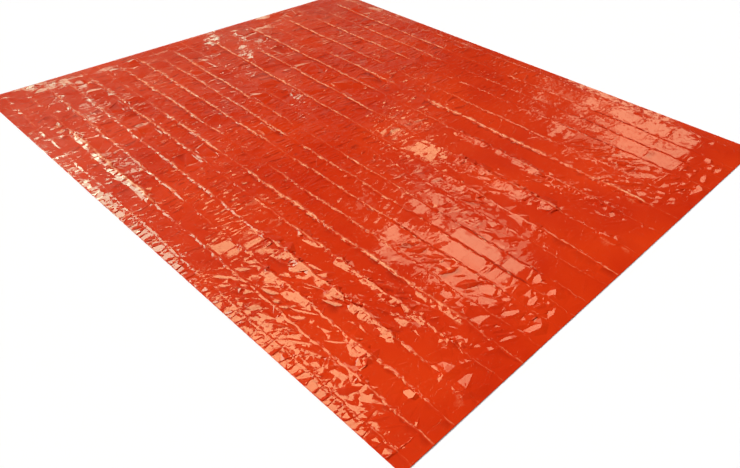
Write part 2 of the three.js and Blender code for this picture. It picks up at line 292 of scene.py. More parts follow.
# Crumpled places: middle across and along, half width, half length, strength, turn of its creases.
Crumple = namedtuple("Crumple", "across along half_across half_along strength turn")
CRUMPLES = table(
    Crumple,
    (60, 480, 50, 280, 1.0, -55), (130, 600, 60, 150, 1.0, -48), (130, 330, 50, 120, 0.5, -30),
    (40, 150, 30, 140, 0.6, -40), (240, 480, 40, 260, 0.9, -60), (335, 310, 45, 190, 0.9, -60),
    (440, 240, 40, 90, 0.6, -30), (520, 330, 60, 190, 0.9, -35), (540, 100, 130, 60, 0.7, -20),
    (350, 90, 70, 60, 0.4, -20), (790, 640, 80, 220, 0.7, -20), (840, 520, 40, 130, 0.9, -60),
    (960, 520, 50, 250, 0.4, -60), (1090, 300, 60, 200, 0.6, -50), (1250, 200, 70, 130, 0.6, -40),
    (1370, 320, 80, 170, 0.9, -35), (1420, 80, 170, 60, 0.7, -20), (1720, 560, 70, 260, 0.4, -30),
    (1690, 250, 70, 110, 0.35, -40), (200, 2075, 70, 60, 0.3, 20), (967, 2090, 50, 50, 0.3, 20),
    (640, 340, 110, 190, 0.25, -10), (755, 370, 48, 150, 0.5, -60), (1540, 340, 120, 200, 0.22, -10),
    (500, 720, 200, 120, 0.35, 0), (1300, 720, 200, 120, 0.35, 0),
)
CALM = 0.1
CRUMPLE_FADE = (0.5, 1.5)

# Families of loose creases: spacing of the places where one may lie, share of places used in calm film and
# in the worst crumples, how far its direction varies, length, half width, and slope of its flanks.
CreaseFamily = namedtuple("CreaseFamily", "pitch calm crumpled turn_spread length half slope_calm slope")
CREASE_FAMILIES = table(
    CreaseFamily,
    ((60, 50), 0.02, 0.85, 22, (80, 150), (10, 20), 0.03, 0.22),
    ((40, 34), 0.15, 0.8, 24, (55, 120), (7, 13), 0.05, 0.21),
    ((24, 22), 0.06, 0.55, 35, (24, 64), (2.5, 6.5), 0.04, 0.2),
    ((13, 13), 0.02, 0.05, 70, (8, 20), (2.5, 4.5), 0.04, 0.13),
)
PLACE_STRAY = 0.5
VALLEY_SHARE = 0.25
CREASE_BEAT = (0.4, 1.2)
# Paleness painted on loose creases' ridges in crumpled film, partly wear and partly painted highlight, and
# painted shade at their right feet
CREASE_WEAR_AND_HIGHLIGHT = 0.35
CREASE_SHADE = 0.8
CROWDING = 0.7

# Short wrinkles across the panels, gathered in bands along the bag.
WRINKLE_STEP = (8.0, 18.0)
WRINKLE_SLOPE = (0.03, 0.11)
WRINKLE_HALF = (4.0, 11.0)
WRINKLE_TURN = 12.0
FAR_FROM = (900.0, 1300.0)
FAR_STEEPNESS = 0.45
WRINKLE_CALM = 0.7
WRINKLE_CALM_SLOPE = 0.5
WRINKLE_LIMIT = 0.5
WRINKLE_REACH = (0.4, 1.6)
# Paleness painted on a wrinkle's ridge, partly wear and partly painted highlight; painted shade at its right
# foot, from a distance along on
WRINKLE_PALE = 0.1
WRINKLE_SHADE = 0.7
WRINKLE_SHADE_FROM = (500.0, 1000.0)
WRINKLE_EASE = 0.6
WRINKLE_EASE_TO = (120.0, 320.0)
WRINKLE_FOOT_EASE = 0.6
WrinkleBand = namedtuple("WrinkleBand", "along half")
WRINKLE_BANDS = table(
    WrinkleBand,
    (870, 110), (1060, 90), (1260, 110), (1445, 90), (1700, 60),
)

# Puckers along the welded side, crowded between two distances from the mouth.
PUCKER_FROM = 40.0
PUCKER_TO = 1790.0
PUCKER_STEP = (12.0, 36.0)
PUCKER_STEP_CALM = (18.0, 46.0)
PUCKER_REACH = (24.0, 56.0)
PUCKER_REACH_NEAR = (26.0, 90.0)
PUCKER_SLOPE = (0.08, 0.20)
PUCKER_SLOPE_CALM = 0.05
PUCKER_CALM_BEAT = (0.3, 1.0)
PUCKER_FILL = 0.45
PUCKER_STEEP_FROM = 800.0
PUCKER_EASE = 0.9
PUCKER_FAR = (1420.0, 1640.0)
PUCKER_FAR_EASE = 0.75
PUCKER_TURN = 20.0
PUCKER_SKEW = -0.7
PUCKER_SKEW_TO = 1180.0
PUCKER_START = 0.5
# Paleness painted on a pucker's ridge, partly wear and partly painted highlight
PUCKER_PALE = 0.2
EDGE_WAVER = 3.0
EDGE_WAVER_CALM = 0.2
EDGE_CLEAR = 1.0

# Small creases: steps and kinks of the ridge, unevenness of its height and of its feet's reach, and the share
# of its height under which ridge and feet are one point
RIDGE_STEP = 13.0
RIDGE_KINK = 0.7
RIDGE_BEAT = (0.75, 1.1)
FOOT_BEAT = (0.8, 1.2)
TIP_TAPER = 0.05
# Cell of the map that keeps creases out of the facets
CLAIM_CELL = 3.0

# Spacing of the points that fill the film between its creases
FILL_PITCH = 55.0
FILL_PITCH_CRUMPLED = 23.0
FILL_CRUMPLED_FROM = 0.4
FILL_STRAY = 0.4
FILL_EDGE = 0.25
FILL_CLEAR = 4.0
FILL_RISE = 1.0
FILL_RISE_CRUMPLED = 1.8
FILL_FLATNESS = 0.45
OUTLINE_PITCH = 8.5
UNDER_PITCH = 60.0
SHARP_ANGLE = 1.5
MERGE_WITHIN = 0.01

# Film colours, linear. The pale and white crease colours are partly wear and partly painted highlight; the
# dark one is painted shade.
ORANGE = (0.60, 0.023, 0.002, 1.0)
ORANGE_LIGHT = (0.70, 0.038, 0.003, 1.0)
CREASE_PALE = (0.92, 0.27, 0.115, 1.0)
CREASE_WHITE = (0.96, 0.44, 0.25, 1.0)
CREASE_PAINTED_SHADE = (0.36, 0.012, 0.001, 1.0)
WORN_ROUGHNESS = 0.3
COAT_SHARE = 0.8
COAT_SHARE_WORN = 0.5
HAZE_ROUGHNESS = 0.3
HAZE_LEVEL = 0.037
GLOSS = (0.02, 0.045)

# Film patterns: how often they repeat in a metre, and the ranges that are used of them
CLOUDS_PER_METRE = 3.5
CLOUD_DETAIL = 3.0
CLOUD_RANGE = (0.35, 0.65)
GRAIN_PER_METRE = 160.0
FINE_DETAIL = 2.0
# Where the ridge paint turns pale and white, partly as wear and partly as painted highlight, and dark as
# painted shade
PALE_RANGE = (0.08, 0.42)
WHITE_RANGE = (0.32, 0.5)
PAINTED_SHADE_RANGE = (-0.12, -0.8)
CELLS_PER_METRE = 75.0
CELL_TILT = (0.006, 0.033)
PATCHES_PER_METRE = (11.0, 22.0, 0.0)
PATCH_TILT = (0.0004, 0.0060)
PATCH_FROM = (-0.35, 0.35)
RIPPLES_PER_METRE = 34.0
RIPPLE_HEIGHT = 0.00009
MID_COLOUR = (0.5, 0.5, 0.5)

# Floor and backdrop
FLOOR_WHITE = (0.95, 0.95, 0.95, 1.0)
FLOOR_ROUGHNESS = 0.9
FLOOR_HALF = 12.0
BACKDROP_SIDES = 48
BACKDROP_RADIUS = 11.5
BACKDROP_HEIGHT = 8.0
BACKDROP_GLOW = 1.0

# The photograph's camera
CAMERA_PLACE = (-1.4639, -1.5055, 1.1659)
CAMERA_TURN = (51.439, -1.415, -44.615)
CAMERA_LENS = 31.946
SENSOR_WIDTH = 36.0

# Seeded chance, so that every run gives the same film. The ribs have a chance of their own.
SEED = 41
RIB_SEED = 43
dice = np.random.default_rng(SEED)
rib_dice = np.random.default_rng(RIB_SEED)


def smooth_step(value, low, high):
    """0 below low, 1 above high, smooth between."""
    share = np.clip((value - low) / (high - low), 0.0, 1.0)
    return share * share * (3.0 - 2.0 * share)


def between(first, last, share):
    """The values a share of the way from the first ones to the last."""
    return np.add(first, share * np.subtract(last, first))


def window(value, start, stop, fade):
    """1 between start and stop, fading to 0 outside them."""
    return smooth_step(value, start - fade, start) * smooth_step(-value, -stop - fade, -stop)


def either_way(chance):
    """1 by a chance, or else -1."""
    return 1.0 if dice.random() < chance else -1.0


def scattered(pitch_across, pitch_along, edge, stray):
    """Places all over the film, a pitch apart, each strayed by up to a share of it. The last ones keep a
    share of the pitch from the far edges."""
    across = np.arange(pitch_across / 2, WIDTH - edge * pitch_across, pitch_across)
    along = np.arange(pitch_along / 2, LENGTH - edge * pitch_along, pitch_along)
    across, along = (grid.ravel() for grid in np.meshgrid(across, along))
    across = across + dice.uniform(-stray, stray, across.shape) * pitch_across
    along = along + dice.uniform(-stray, stray, along.shape) * pitch_along
    return across, along


def fold_line(index, along):
    """Place across of a lengthwise fold at a distance along."""
    fold = LENGTH_FOLDS[index]
    line = fold.mouth + (fold.foot - fold.mouth) * along / LENGTH
    for waver in FOLD_WAVERS:
        line = line + waver.height * np.sin(2 * math.pi * along / waver.length + index * waver.turn)
    return line


def panel_sides(panel, along):
    """The free stretch across between the folds on both sides of a panel."""
    left = fold_line(panel - 1, along) if panel > 0 else 0.0
    right = fold_line(panel, along) if panel < len(LENGTH_FOLDS) else WIDTH
    return left + FOLD_MARGIN, right - FOLD_MARGIN


def crumple_strength(across, along):
    """How crumpled the film is, from calm to 1, and the turn of its creases there."""
    strength = np.full(np.shape(across), CALM)
    turn = np.zeros(np.shape(across))
    for place in CRUMPLES:
        away = ((across - place.across) / place.half_across) ** 2
        away = away + ((along - place.along) / place.half_along) ** 2
        here = place.strength * (1.0 - smooth_step(away, *CRUMPLE_FADE))
        turn = np.where(here > strength, place.turn, turn)
        strength = np.maximum(strength, here)
    return strength, turn


class FilmNet:
    """Points of the upper layer with their relief, the creases that join them, and the facets kept free.

    A point's anchor is the place where the film's level under it is taken, so that a facet stays flat.
    """

    def __init__(self):
        self.places = []
        self.anchors = []
        self.relief = []
        self.crease = []
        self.edges = []
        cells = (int(WIDTH / CLAIM_CELL) + 2, int(LENGTH / CLAIM_CELL) + 2)
        self.claimed = np.zeros(cells, bool)

    def point(self, across, along, relief=0.0, crease=0.0, anchor=None):
        """Adds a point anywhere on the film. Returns its number."""
        self.places.append((across, along))
        self.anchors.append(anchor or (across, along))
        self.relief.append(relief)
        self.crease.append(crease)
        return len(self.places) - 1

    def inner_point(self, across, along, relief=0.0, crease=0.0):
        """Adds a point that is kept just inside the film's edges."""
        across = min(max(across, EDGE_WAVER + EDGE_CLEAR), WIDTH - EDGE_CLEAR)
        along = min(max(along, EDGE_CLEAR), LENGTH - EDGE_CLEAR)
        return self.point(across, along, relief, crease)

    def line(self, points):
        """Joins points by creases, each to the next."""
        self.edges += zip(points[:-1], points[1:])

    def claim(self, corners):
        """Keeps later creases out of a facet, given its corners anticlockwise."""
        corners = np.array(corners)
        low = np.maximum(np.floor(corners.min(axis=0) / CLAIM_CELL).astype(int), 0)
        high = np.minimum(np.ceil(corners.max(axis=0) / CLAIM_CELL).astype(int) + 1, self.claimed.shape)
        cells = np.stack(np.mgrid[low[0]:high[0], low[1]:high[1]], axis=-1)
        inside = np.ones(cells.shape[:2], bool)
        for corner, after in zip(corners, np.roll(corners, -1, axis=0)):
            run, gap = after - corner, cells * CLAIM_CELL - corner
            inside &= run[0] * gap[..., 1] - run[1] * gap[..., 0] >= 0
        self.claimed[low[0]:high[0], low[1]:high[1]] |= inside

    def is_free(self, *places):
        """Whether none of the places lies in a claimed facet."""
        for across, along in places:
            row = int(np.clip(across, 0, WIDTH) / CLAIM_CELL)
            column = int(np.clip(along, 0, LENGTH) / CLAIM_CELL)
            if self.claimed[row, column]:
                return False
        return True

    def spindle(self, start, stop, rise, half, crease=0.0, open_start=False, skew=0.0, shade=0.0):
        """A crease that tapers to both its ends, or only to its stop if its start is open. A skew over 0
        makes its right flank the wider one, under 0 the left. Crease is the paleness painted on its ridge,
        partly wear and partly painted highlight. Shade is painted shade on the foot of its right flank."""
        start, stop = np.array(start), np.array(stop)
        run = stop - start
        length = math.hypot(*run)
        steps = max(2, int(round(length / RIDGE_STEP)))
        side = np.array((-run[1], run[0])) / max(length, TINY)
        tracks = ([], [], [])
        for k in range(steps + 1):
            share = k / steps
            taper = math.cos(math.pi / 2 * share) if open_start else math.sin(math.pi * share)
            place = start + run * share
            if 0 < k < steps:
                place = place + side * dice.uniform(-RIDGE_KINK, RIDGE_KINK)
                taper *= dice.uniform(*RIDGE_BEAT)
            ridge = self.inner_point(*place, rise * taper, crease * taper)
            inner = taper > TIP_TAPER
            for track, way, dark in ((tracks[0], -1.0, -shade), (tracks[2], 1.0, 0.0)):
                reach = half * taper * (1.0 - way * skew) * dice.uniform(*FOOT_BEAT)
                foot = place + side * way * reach
                track.append(self.inner_point(*foot, 0.0, dark) if inner else ridge)
            tracks[1].append(ridge)
        for track in tracks:
            self.line(track)


def outline(net):
    """Adds the film's four edges, with the ends of the folds in them. Returns the point numbers of each."""
    corners = [net.point(0, 0), net.point(WIDTH, 0), net.point(WIDTH, LENGTH), net.point(0, LENGTH)]
    ends = {}
    sides = {}
    for name, along, first, last in (("mouth", 0.0, 0, 1), ("foot", LENGTH, 3, 2)):
        stops = [(0.0, corners[first]), (WIDTH, corners[last])]
        for index in range(len(LENGTH_FOLDS)):
            line = fold_line(index, along)
            half = dice.uniform(*FOLD_HALF)
            top = net.point(line, along, FAINT.rise, FAINT.pale)
            feet = [net.point(line - half, along), top, net.point(line + half, along)]
            ends[name, index] = feet
            stops += [(line - half, feet[0]), (line, feet[1]), (line + half, feet[2])]
        taken = sorted(stop[0] for stop in stops)
        for left, right in zip(taken[:-1], taken[1:]):
            steps = max(1, int(round((right - left) / OUTLINE_PITCH)))
            for k in range(1, steps):
                across = left + (right - left) * k / steps
                stops.append((across, net.point(across, along)))
        sides[name] = [stop[1] for stop in sorted(stops)]
    steps = int(round(LENGTH / OUTLINE_PITCH))
    for name, first, last in (("weld", 0, 3), ("fold", 1, 2)):
        points = [corners[first]]
        for k in range(1, steps):
            along = LENGTH * k / steps
            busy = window(along, PUCKER_FROM, PUCKER_TO, FOLD_FADE)
            waver = EDGE_WAVER * between(EDGE_WAVER_CALM, 1.0, busy) * dice.uniform(0.0, 1.0)
            points.append(net.point(waver if name == "weld" else WIDTH, along))
        sides[name] = points + [corners[last]]
    for points in sides.values():
        net.line(points)
    return sides, ends


def fold_strength(index, along):
    """Rise and paleness of a lengthwise fold's ridge at a distance along, before its small unevenness."""
    rise, pale = FAINT.rise, FAINT.pale
    for stretch in STRETCHES:
        if stretch.fold == index:
            share = window(along, stretch.start, stretch.stop, FOLD_FADE)
            rise = between(rise, stretch.rise, share)
            pale = between(pale, stretch.pale, share)
    return rise, pale


def chain_at(index, along):
    """The chain on a fold at a distance along, or None."""
    for chain in CHAINS:
        if chain.fold == index and chain.start <= along <= chain.stop:
            return chain
    return None


def chain_lifts(index, stations):
    """Splits the stations of a fold that lie in its chains into facets. Returns each facet as its first and
    last station, reach, lean and evenness, and the lift of the fold's line at every station."""
    facets = []
    lifts = np.zeros(len(stations))
    first = 0
    while first < len(stations) - 1:
        last = min(first + int(dice.integers(*CHAIN_STEPS)), len(stations) - 1)
        chain = chain_at(index, stations[first])
        if chain is None:
            first += 1
            continue
        if dice.random() > CHAIN_GAP:
            reach = chain.reach * dice.uniform(chain.least, CHAIN_REACH)
            lean = chain.lean + CHAIN_LEAN_SPREAD * (1.0 - chain.least) * dice.uniform(-1.0, 1.0)
            lift = reach * math.tan(math.radians(lean))
            facets.append((first, last, reach, lean, chain.least))
            lifts[first:last + 1] = np.maximum(lifts[first:last + 1], lift)
        first = last
    evened = np.convolve(np.pad(lifts, 1, mode="edge"), CHAIN_EVENING, mode="valid")
    return facets, evened


def length_folds(net, ends):
    """Adds the lengthwise folds: an uneven ridge line and a foot on each side, and the chains beside them."""
    for index in range(len(LENGTH_FOLDS)):
        tracks = [[point] for point in ends["mouth", index]]
        stations = [dice.uniform(*FOLD_STEP)]
        while stations[-1] < LENGTH - FOLD_STEP[1] - FOLD_STEP[0]:
            stations.append(stations[-1] + dice.uniform(*FOLD_STEP))
        facets, lifts = chain_lifts(index, stations)
        beat = dash = 1.0
        for along, lift in zip(stations, lifts):
            line = fold_line(index, along) + dice.uniform(-FOLD_STRAY, FOLD_STRAY)
            beat = (beat + dice.uniform(*FOLD_BEAT)) / 2
            if dice.random() < DASH_TURN:
                dash = DASH_GAP if dash == 1.0 else 1.0
            rise, pale = fold_strength(index, along)
            rise = rise * beat
            # The ridge's paint: pale as wear and painted highlight, dark under 0 as painted shade; the
            # welded-side foot gets painted shade
            wear_and_painted_light = np.clip(pale * dash * beat, -1.0, 1.0)
            shade = -FOOT_SHADE * max(wear_and_painted_light, 0.0) if chain_at(index, along) is None else 0.0
            wide = WIDE_FOLDS.get(index, 1.0)
            left = dice.uniform(*between(*FOLD_LEFT, along / LENGTH)) * wide
            right = dice.uniform(*between(*FOLD_RIGHT, along / LENGTH)) * wide
            right = max(right, CHAIN_FALL * lift)
            left_along = along + dice.uniform(-FOOT_STRAY, FOOT_STRAY)
            right_along = along + dice.uniform(-FOOT_STRAY, FOOT_STRAY)
            tracks[0].append(net.point(line - left, left_along, lift, shade))
            tracks[1].append(net.point(line, along, lift + rise, wear_and_painted_light))
            tracks[2].append(net.point(line + right, right_along, lift))
        for track, point in zip(tracks, ends["foot", index]):
            net.line(track + [point])
        for first, last, reach, lean, even in facets:
            chain_facet(net, tracks[0][first + 1:last + 2], reach, lean, even)


def height_on(slant, place):
    """Height of a slanting facet at a place."""
    return slant.top - slant.slope * (slant.edge - place[0])


def chain_facet(net, side, reach, lean, even):
    """Adds a facet from a stretch of a fold's foot line out to the welded side. The more even it is, the
    closer its two outer corners come to the ends of the stretch. An uneven one may have just one corner."""
    low, high = np.array(net.places[side[0]]), np.array(net.places[side[-1]])
    run = high[1] - low[1]
    slack = (1.0 - even) / 2
    shares = [slack * dice.random(), 1.0 - slack * dice.random()]
    if dice.random() < slack:
        shares = [dice.uniform(*shares)]
    edge = min(low[0], high[0])
    least = max(even, CHAIN_LEAST_REACH)
    outer = [(edge - reach * dice.uniform(least, 1.0), low[1] + run * share) for share in shares]
    # The outer corners are painted pale, partly as wear and partly as painted highlight
    pale = dice.uniform(*CHAIN_PALE)
    top = (net.relief[side[0]] + net.relief[side[-1]]) / 2
    slant = Slant(edge, top, math.tan(math.radians(lean)))
    numbers = [net.inner_point(*place, height_on(slant, place), pale) for place in outer]
    net.line([side[0], *numbers, side[-1]])
    net.claim([tuple(low), tuple(high), *outer[::-1]])
    for _ in range(int(reach / RIB_EVERY)):
        start, stop = rib_dice.uniform(*RIB_STARTS), rib_dice.uniform(*RIB_STOPS)
        inside = between(low, high, rib_dice.uniform(*RIB_SPAN))
        outside = between(outer[0], outer[-1], rib_dice.uniform(*RIB_SPAN))
        rib(net, between(inside, outside, start), between(inside, outside, stop), slant)


def rib(net, start, stop, slant):
    """Adds a thin crease across a chain's facet."""
    middle = between(start, stop, 0.5)
    run = stop - start
    half = min(rib_dice.uniform(*RIB_HALF), math.hypot(*run) * RIB_SLIMNESS)
    side = np.array((-run[1], run[0])) * half / math.hypot(*run)
    rise = half * rib_dice.uniform(*RIB_SLOPE)
    tips = [net.inner_point(*place, height_on(slant, place)) for place in (start, stop)]
    for place, lift in ((middle - side, 0.0), (middle, rise), (middle + side, 0.0)):
        number = net.inner_point(*place, height_on(slant, place) + lift)
        net.line([tips[0], number, tips[1]])


def panel_at(across, along):
    """Number of the panel that a place lies in."""
    return sum(across > fold_line(index, along) for index in range(len(LENGTH_FOLDS)))


def facet(net, row, lean):
    """Adds a flat facet with uneven corners, clear of the folds beside it, that leans as told in degrees."""
    middle = np.array((row.across, row.along), float)
    panel = panel_at(*middle)
    turn = math.radians(row.turn)
    ahead = np.array((math.cos(turn), math.sin(turn)))
    aside = np.array((-ahead[1], ahead[0]))
    corners = []
    count = int(dice.integers(*FLAKE_CORNERS))
    start = dice.uniform(0.0, 1.0)
    for k in range(count):
        angle = 2 * math.pi * (start + k + dice.uniform(-FLAKE_TURN, FLAKE_TURN)) / count
        reach = dice.uniform(*FLAKE_REACH)
        place = middle + ahead * row.half_across * reach * math.cos(angle)
        place = place + aside * row.half_along * reach * math.sin(angle)
        place[0] = np.clip(place[0], *panel_sides(panel, place[1]))
        place[1] = np.clip(place[1], EDGE_CLEAR, LENGTH - EDGE_CLEAR)
        corners.append(place)
    slope = np.tan(np.radians(lean))
    heights = -(np.array(corners) - middle) @ slope
    heights = heights - heights.min() - FLAKE_SINK
    numbers = [net.point(*place, height, 0.0, tuple(middle)) for place, height in zip(corners, heights)]
    net.line(numbers + numbers[:1])
    net.claim(corners)


def lean_to_show(across, along, light):
    """Lean across and along, in degrees, at which a place shows a light to the photograph's camera."""
    place = Vector(to_frame(across, along, PANEL_LEVEL)[0])
    to_eye = (Vector(CAMERA_PLACE) - place).normalized()
    to_light = (Vector(light) - place).normalized()
    half_way = to_eye + to_light
    return np.degrees(np.arctan2(half_way[:2], half_way[2]))


def flakes(net):
    """Adds the single facets that are listed one by one."""
    places = {light.name: light.place for light in soft_lights()}
    for light, *rows in FLAKES:
        for row in table(Flake, *rows):
            lean = lean_to_show(row.across, row.along, places[light])
            facet(net, row, lean + FLAKE_STRAY * dice.uniform(-1.0, 1.0, 2))


def panes(net):
    """Adds the calm stretches of the bright patches, each broken by slight kinks across it."""
    for row in PANES:
        middle = (row.across, row.along)
        along = row.along - row.half_along
        sides = [], []
        while True:
            for way, side in zip((-1, 1), sides):
                place = row.across + way * (row.half_across - dice.uniform(0.0, PANE_STRAY))
                ahead = along + PANE_STRAY * dice.uniform(-1.0, 1.0)
                side.append(net.point(place, ahead, PANE_KINK * dice.uniform(-1.0, 1.0), 0.0, middle))
            if len(sides[0]) > 1:
                net.line([sides[0][-1], sides[1][-1]])
            if along >= row.along + row.half_along:
                break
            along = min(along + dice.uniform(*PANE_STEP), row.along + row.half_along)
        border = [*sides[1], *sides[0][::-1]]
        net.line([*border, border[0]])
        net.claim([net.places[number] for number in (sides[0][0], sides[1][0], sides[1][-1], sides[0][-1])])


def dents(net):
    """Adds the flat places of the far panels that lean to the mouth."""
    for row in DENTS:
        corners = []
        for aside, ahead in ((-1, -1), (1, -1), (1, 1), (-1, 1)):
            along = row.along + ahead * row.half_along * dice.uniform(*DENT_RAGGED)
            left, right = panel_sides(panel_at(row.across, along), along)
            across = row.across + aside * row.half_across * dice.uniform(*DENT_RAGGED)
            corners.append(np.array((np.clip(across, left + FOLD_MARGIN, right - FOLD_MARGIN), along)))
        if not net.is_free(*corners, sum(corners) / len(corners)):
            continue
        slope = math.tan(math.radians(row.lean))
        middle = (row.across, row.along)
        numbers = []
        for across, along in corners:
            numbers.append(net.point(across, along, slope * (along - row.along), 0.0, middle))
        net.line(numbers + numbers[:1])
        net.claim(corners)


def barbs(net):
    """Adds short creases that leave the fold lines sideways."""
    for index in range(len(LENGTH_FOLDS)):
        along = dice.uniform(*BARB_STEP)
        while along < LENGTH - BARB_LENGTH[1]:
            side = either_way(EVEN_ODDS)
            turn = math.radians(dice.uniform(*BARB_TURN)) * either_way(EVEN_ODDS)
            length = dice.uniform(*BARB_LENGTH)
            half = dice.uniform(*BARB_HALF)
            line = fold_line(index, along)
            stop = (line + side * length * math.cos(turn), along + length * math.sin(turn))
            lift = fold_strength(index, along)[0] / 2
            if net.is_free(stop) and chain_at(index, along) is None:
                rise = half * dice.uniform(*BARB_SLOPE) + lift
                net.spindle((line, along), stop, rise, half, BARB_PALE, open_start=True)
            along += dice.uniform(*BARB_STEP)


def cross_folds(net):
    """Adds the cross folds, broken and slightly shifted at each lengthwise fold."""
    for fold in CROSS_FOLDS:
        for panel in range(len(LENGTH_FOLDS) + 1):
            left, right = panel_sides(panel, fold.along)
            if right < fold.start or left > fold.stop or dice.random() > CROSS_KEPT:
                continue
            left, right = max(left, fold.start), min(right, fold.stop)
            shifts = fold.along + dice.uniform(-CROSS_SLIP, CROSS_SLIP, 2)
            start, stop = (left, shifts[0]), (right, shifts[1])
            if net.is_free(start, ((left + right) / 2, fold.along), stop):
                net.spindle(start, stop, fold.rise * dice.uniform(*CROSS_BEAT), CROSS_WIDTH, CROSS_PALE)


def rungs(net):
    """Adds the wrinkles that cross single panels."""
    for row in RUNGS:
        left, right = panel_sides(panel_at(row.across, row.along), row.along)
        slips = row.along + RUNG_SLIP * dice.uniform(-1.0, 1.0, 2)
        start, stop = (left + FOLD_MARGIN, slips[0]), (right - FOLD_MARGIN, slips[1])
        if net.is_free(start, (row.across, row.along), stop):
            net.spindle(start, stop, row.rise, RUNG_WIDTH, RUNG_PALE, shade=RUNG_SHADE)


def clip_to_panel(middle, turn, length):
    """Start and stop of a crease around a place, cut where it would reach a lengthwise fold or an edge."""
    across, along = middle
    left, right = panel_sides(panel_at(across, along), along)
    if not left < across < right:
        return None
    way = np.array((math.cos(turn), math.sin(turn)))
    ends = []
    for sign in (-1.0, 1.0):
        reach = length / 2
        run = sign * way
        if abs(run[0]) > TINY:
            reach = min(reach, ((right if run[0] > 0 else left) - across) / run[0])
        limit = LENGTH - FOLD_MARGIN if run[1] > 0 else FOLD_MARGIN
        if abs(run[1]) > TINY:
            reach = min(reach, (limit - along) / run[1])
        ends.append(np.array(middle) + run * max(0.0, reach))
    return ends


def is_crowded(kept, middle, half):
    """Whether a crease with a middle and half width would lie on one that is kept, or close beside it."""
    if not kept:
        return False
    others = np.array(kept)
    middles, ways, half_lengths, halves = others[:, :2], others[:, 2:4], others[:, 4], others[:, 5]
    gaps = middle - middles
    ahead = np.abs(np.sum(gaps * ways, axis=1)) / half_lengths
    aside = np.abs(gaps[:, 0] * ways[:, 1] - gaps[:, 1] * ways[:, 0]) / (halves + half * CROWDING)
    return np.any((ahead < CROWDING) & (aside < 1.0))


def loose_creases(net):
    """Adds the loose creases of each family, more and steeper where the film is crumpled, kept apart."""
    kept = []
    for family in CREASE_FAMILIES:
        across, along = scattered(*family.pitch, 0.0, PLACE_STRAY)
        strengths, turns = crumple_strength(across, along)
        shares = (strengths - CALM) / (1.0 - CALM)
        used = dice.random(across.shape) < between(family.calm, family.crumpled, shares)
        for *place, share, turn in zip(across[used], along[used], shares[used], turns[used]):
            turn = math.radians(turn + family.turn_spread * dice.uniform(-1.0, 1.0))
            ends = clip_to_panel(place, turn, dice.uniform(*family.length))
            half = dice.uniform(*family.half)
            if ends is None or math.dist(*ends) < 2 * half:
                continue
            middle = (ends[0] + ends[1]) / 2
            if not net.is_free(ends[0], (ends[0] + middle) / 2, middle, (ends[1] + middle) / 2, ends[1]):
                continue
            if is_crowded(kept, middle, half):
                continue
            kept.append((*middle, math.cos(turn), math.sin(turn), math.dist(*ends) / 2, half))
            slope = between(family.slope_calm, family.slope, share) * dice.uniform(*CREASE_BEAT)
            rise = slope * half * -either_way(VALLEY_SHARE)
            shade = CREASE_SHADE * share * dice.random()
            net.spindle(*ends, rise, half, CREASE_WEAR_AND_HIGHLIGHT * share, shade=shade)


def wrinkle_slope(across, along, band):
    """Slope of a wrinkle: steeper in the bands and far from the mouth, gentler by the weld and foot."""
    slope = dice.uniform(*WRINKLE_SLOPE) * between(WRINKLE_CALM_SLOPE, 1.0, band)
    slope = slope * (1.0 + FAR_STEEPNESS * smooth_step(along, *FAR_FROM))
    by_weld = smooth_step(-across, -WRINKLE_EASE_TO[1], -WRINKLE_EASE_TO[0])
    by_foot = smooth_step(along, LENGTH - 2 * FOOT_SHOULDER, LENGTH - FOOT_SHOULDER)
    return slope * (1.0 - WRINKLE_EASE * by_weld) * (1.0 - WRINKLE_FOOT_EASE * by_foot)


def cross_wrinkles(net):
    """Adds short wrinkles across the panels, in bands along the bag."""
    for panel in range(1, len(LENGTH_FOLDS) + 1):
        along = dice.uniform(*WRINKLE_STEP)
        while along < LENGTH - FOLD_MARGIN:
            band = max(math.exp(-(((along - place.along) / place.half) ** 2)) for place in WRINKLE_BANDS)
            left, right = panel_sides(panel, along)
            across = dice.uniform(left, right)
            calm = crumple_strength(across, along)[0] < WRINKLE_LIMIT
            if calm and along > MOUTH_SHOULDER and dice.random() < between(WRINKLE_CALM, 1.0, band):
                turn = math.radians(dice.normal(0.0, WRINKLE_TURN))
                ends = clip_to_panel((across, along), turn, (right - left) * dice.uniform(*WRINKLE_REACH))
                half = dice.uniform(*WRINKLE_HALF)
                if ends is not None and math.dist(*ends) > 2 * half and net.is_free(*ends, sum(ends) / 2):
                    rise = half * wrinkle_slope(across, along, band)
                    shade = WRINKLE_SHADE * smooth_step(along, *WRINKLE_SHADE_FROM) * dice.random()
                    net.spindle(*ends, rise, half, WRINKLE_PALE, shade=shade)
            along += dice.uniform(*WRINKLE_STEP)


